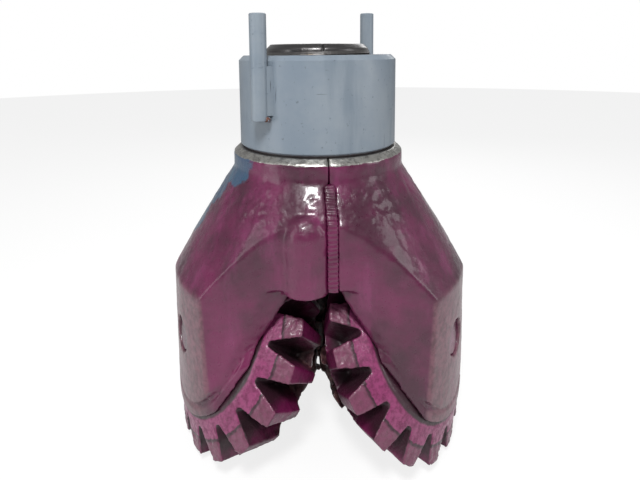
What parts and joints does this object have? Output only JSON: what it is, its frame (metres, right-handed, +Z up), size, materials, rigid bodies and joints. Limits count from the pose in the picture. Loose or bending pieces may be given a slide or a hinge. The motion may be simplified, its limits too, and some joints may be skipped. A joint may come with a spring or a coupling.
{
  "type": "tricone drill bit",
  "caption": "Rotary rock bit with rolling cones of milled steel teeth on journal arms, a threaded pin above and a screwed thread protector with two lifting bars.",
  "frame": {"origin": "centre of the pin's shoulder face, where the pin thread starts", "axes": "+Z up the bit's axis towards the pin, +Y towards leg 1"},
  "size_m": [0.3854, 0.3744, 0.5555],
  "materials": {
    "body_paint": "gloss paint over forged steel",
    "cone_paint": "paint over milled steel and hard facing",
    "collar_paint": "satin blue-grey paint",
    "bearing_steel": "ground",
    "bearing_bronze": "bored",
    "carbide": "ground, dark",
    "seal_rubber": "matte"
  },
  "bodies": {
    "bit_body": {"leg_1": "body_paint", "ball_plug_1": "bearing_steel", "ball_plug_cap_1": "body_paint", "seam_weld_1": "body_paint", "nozzle_1": "carbide", "nozzle_o_ring_1": "seal_rubber", "nozzle_ring_1": "bearing_steel", "leg_2": "body_paint", "ball_plug_2": "bearing_steel", "ball_plug_cap_2": "body_paint", "seam_weld_2": "body_paint", "nozzle_2": "carbide", "nozzle_o_ring_2": "seal_rubber", "nozzle_ring_2": "bearing_steel", "leg_3": "body_paint", "ball_plug_3": "bearing_steel", "ball_plug_cap_3": "body_paint", "seam_weld_3": "body_paint", "nozzle_3": "carbide", "nozzle_o_ring_3": "seal_rubber", "nozzle_ring_3": "bearing_steel", "leg_dowels": "bearing_steel"},
    "cone_unit_1": {"cone_1": "cone_paint", "nose_bush_1": "bearing_bronze", "thrust_button_1": "bearing_steel"},
    "roller_set_1": {"main_rollers_1": "bearing_steel"},
    "ball_set_1": {"lock_balls_1": "bearing_steel"},
    "cone_unit_2": {"cone_2": "cone_paint", "nose_bush_2": "bearing_bronze", "thrust_button_2": "bearing_steel"},
    "roller_set_2": {"main_rollers_2": "bearing_steel"},
    "ball_set_2": {"lock_balls_2": "bearing_steel"},
    "cone_unit_3": {"cone_3": "cone_paint", "nose_bush_3": "bearing_bronze", "thrust_button_3": "bearing_steel"},
    "roller_set_3": {"main_rollers_3": "bearing_steel"},
    "ball_set_3": {"lock_balls_3": "bearing_steel"},
    "protector_unit": {"thread_protector": "collar_paint", "lift_bar_front": "collar_paint", "lift_bar_rear": "collar_paint", "bar_weld_front": "collar_paint", "bar_weld_rear": "collar_paint"}
  },
  "joints": [
    {"name": "cone_spin_1", "type": "hinge", "parent": "bit_body", "child": "cone_unit_1", "pos_m": [0.002, 0, -0.336], "axis": [0, 0.8387, 0.5446], "continuous": true},
    {"name": "roller_orbit_1", "type": "hinge", "parent": "bit_body", "child": "roller_set_1", "pos_m": [0.002, 0, -0.336], "axis": [0, 0.8387, 0.5446], "continuous": true},
    {"name": "ball_orbit_1", "type": "hinge", "parent": "bit_body", "child": "ball_set_1", "pos_m": [0.002, 0, -0.336], "axis": [0, 0.8387, 0.5446], "continuous": true},
    {"name": "cone_spin_2", "type": "hinge", "parent": "bit_body", "child": "cone_unit_2", "pos_m": [-0.001, 0.00173, -0.336], "axis": [-0.7263, -0.4193, 0.5446], "continuous": true},
    {"name": "roller_orbit_2", "type": "hinge", "parent": "bit_body", "child": "roller_set_2", "pos_m": [-0.001, 0.00173, -0.336], "axis": [-0.7263, -0.4193, 0.5446], "continuous": true},
    {"name": "ball_orbit_2", "type": "hinge", "parent": "bit_body", "child": "ball_set_2", "pos_m": [-0.001, 0.00173, -0.336], "axis": [-0.7263, -0.4193, 0.5446], "continuous": true},
    {"name": "cone_spin_3", "type": "hinge", "parent": "bit_body", "child": "cone_unit_3", "pos_m": [-0.001, -0.00173, -0.336], "axis": [0.7263, -0.4193, 0.5446], "continuous": true},
    {"name": "roller_orbit_3", "type": "hinge", "parent": "bit_body", "child": "roller_set_3", "pos_m": [-0.001, -0.00173, -0.336], "axis": [0.7263, -0.4193, 0.5446], "continuous": true},
    {"name": "ball_orbit_3", "type": "hinge", "parent": "bit_body", "child": "ball_set_3", "pos_m": [-0.001, -0.00173, -0.336], "axis": [0.7263, -0.4193, 0.5446], "continuous": true},
    {"name": "protector_lift", "type": "slide", "parent": "bit_body", "child": "protector_unit", "axis": [0, 0, 1], "range_m": [0, 0.15]}
  ],
  "couplings": [
    {"joint": "roller_orbit_1", "follows": "cone_spin_1", "ratio": 0.57447},
    {"joint": "ball_orbit_1", "follows": "cone_spin_1", "ratio": 0.5955},
    {"joint": "roller_orbit_2", "follows": "cone_spin_2", "ratio": 0.57447},
    {"joint": "ball_orbit_2", "follows": "cone_spin_2", "ratio": 0.5955},
    {"joint": "roller_orbit_3", "follows": "cone_spin_3", "ratio": 0.57447},
    {"joint": "ball_orbit_3", "follows": "cone_spin_3", "ratio": 0.5955}
  ]
}
